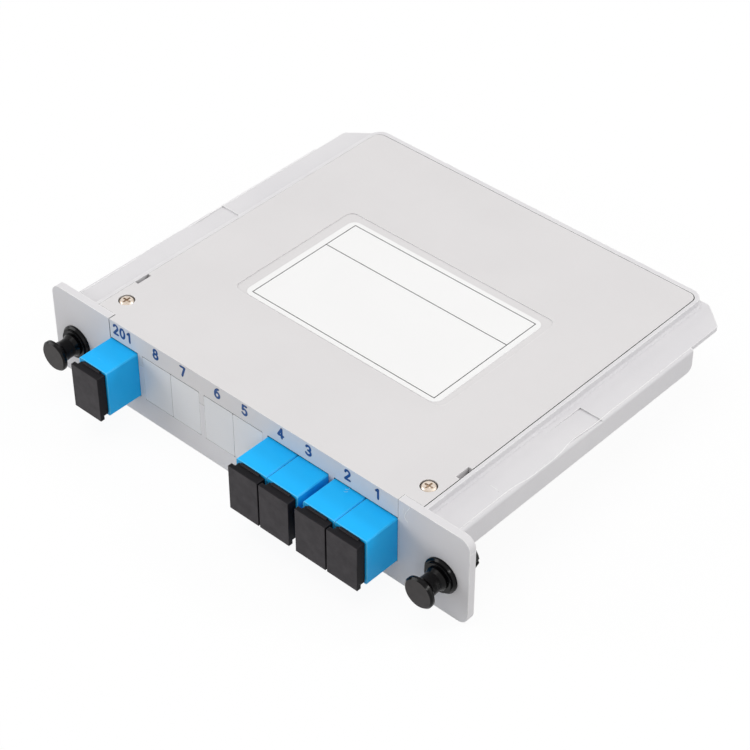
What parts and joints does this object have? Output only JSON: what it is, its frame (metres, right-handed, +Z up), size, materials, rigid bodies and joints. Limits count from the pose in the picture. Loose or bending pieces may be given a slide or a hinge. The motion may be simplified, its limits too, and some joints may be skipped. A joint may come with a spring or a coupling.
{
  "type": "fibre splitter cassette",
  "caption": "Flat plug-in fibre splitter cassette with side rails, a wide front panel with push latches, blue fibre adapters under black dust caps and blank plugs.",
  "frame": {"origin": "middle of the front panel's bottom face, half way through the panel's thickness", "axes": "+X to the right along the panel, +Y from the panel to the rear of the box, +Z up out of the lid"},
  "size_m": [0.13, 0.1122, 0.0244],
  "materials": {
    "housing": "fine spark-eroded texture",
    "lid": "fine spark-eroded texture",
    "label": "matt coated paper",
    "screw": "nickel plated",
    "module_case": "brushed",
    "module_boot": "matt",
    "latch": "gloss",
    "latch_knob": "gloss",
    "blank": "satin",
    "adapter": "satin gloss",
    "insert": "satin",
    "sleeve": "polished",
    "cap": "satin",
    "shell": "satin gloss",
    "frame": "satin",
    "ferrule": "polished",
    "boot": "matt",
    "fibre": "smooth"
  },
  "bodies": {
    "cassette": {"base_housing": "housing", "lid": "lid", "lid_label": "label", "lid_screws": "screw", "splitter_module": "module_case", "splitter_boot_in": "module_boot", "splitter_boot_out": "module_boot", "latch_grommet_left": "latch", "latch_grommet_right": "latch", "blank_plug_5": "blank", "blank_plug_6": "blank", "blank_plug_7": "blank", "blank_plug_8": "blank", "adapter_body_in": "adapter", "adapter_insert_in": "insert", "alignment_sleeve_in": "sleeve", "connector_shell_in": "shell", "connector_frame_in": "frame", "ferrule_in": "ferrule", "connector_boot_in": "boot", "fibre_in": "fibre", "adapter_body_1": "adapter", "adapter_insert_1": "insert", "alignment_sleeve_1": "sleeve", "connector_shell_1": "shell", "connector_frame_1": "frame", "ferrule_1": "ferrule", "connector_boot_1": "boot", "fibre_1": "fibre", "adapter_body_2": "adapter", "adapter_insert_2": "insert", "alignment_sleeve_2": "sleeve", "connector_shell_2": "shell", "connector_frame_2": "frame", "ferrule_2": "ferrule", "connector_boot_2": "boot", "fibre_2": "fibre", "adapter_body_3": "adapter", "adapter_insert_3": "insert", "alignment_sleeve_3": "sleeve", "connector_shell_3": "shell", "connector_frame_3": "frame", "ferrule_3": "ferrule", "connector_boot_3": "boot", "fibre_3": "fibre", "adapter_body_4": "adapter", "adapter_insert_4": "insert", "alignment_sleeve_4": "sleeve", "connector_shell_4": "shell", "connector_frame_4": "frame", "ferrule_4": "ferrule", "connector_boot_4": "boot", "fibre_4": "fibre"},
    "plunger_left": {"latch_plunger_left": "latch_knob"},
    "plunger_right": {"latch_plunger_right": "latch_knob"},
    "cap_in": {"dust_cap_in": "cap"},
    "cap_1": {"dust_cap_1": "cap"},
    "cap_2": {"dust_cap_2": "cap"},
    "cap_3": {"dust_cap_3": "cap"},
    "cap_4": {"dust_cap_4": "cap"}
  },
  "joints": [
    {"name": "latch_pull_left", "type": "slide", "parent": "cassette", "child": "plunger_left", "axis": [0, -1, 0], "range_m": [0, 0.005]},
    {"name": "latch_pull_right", "type": "slide", "parent": "cassette", "child": "plunger_right", "axis": [0, -1, 0], "range_m": [0, 0.005]},
    {"name": "cap_pull_in", "type": "slide", "parent": "cassette", "child": "cap_in", "axis": [0, -1, 0], "range_m": [0, 0.022]},
    {"name": "cap_pull_1", "type": "slide", "parent": "cassette", "child": "cap_1", "axis": [0, -1, 0], "range_m": [0, 0.022]},
    {"name": "cap_pull_2", "type": "slide", "parent": "cassette", "child": "cap_2", "axis": [0, -1, 0], "range_m": [0, 0.022]},
    {"name": "cap_pull_3", "type": "slide", "parent": "cassette", "child": "cap_3", "axis": [0, -1, 0], "range_m": [0, 0.022]},
    {"name": "cap_pull_4", "type": "slide", "parent": "cassette", "child": "cap_4", "axis": [0, -1, 0], "range_m": [0, 0.022]}
  ]
}
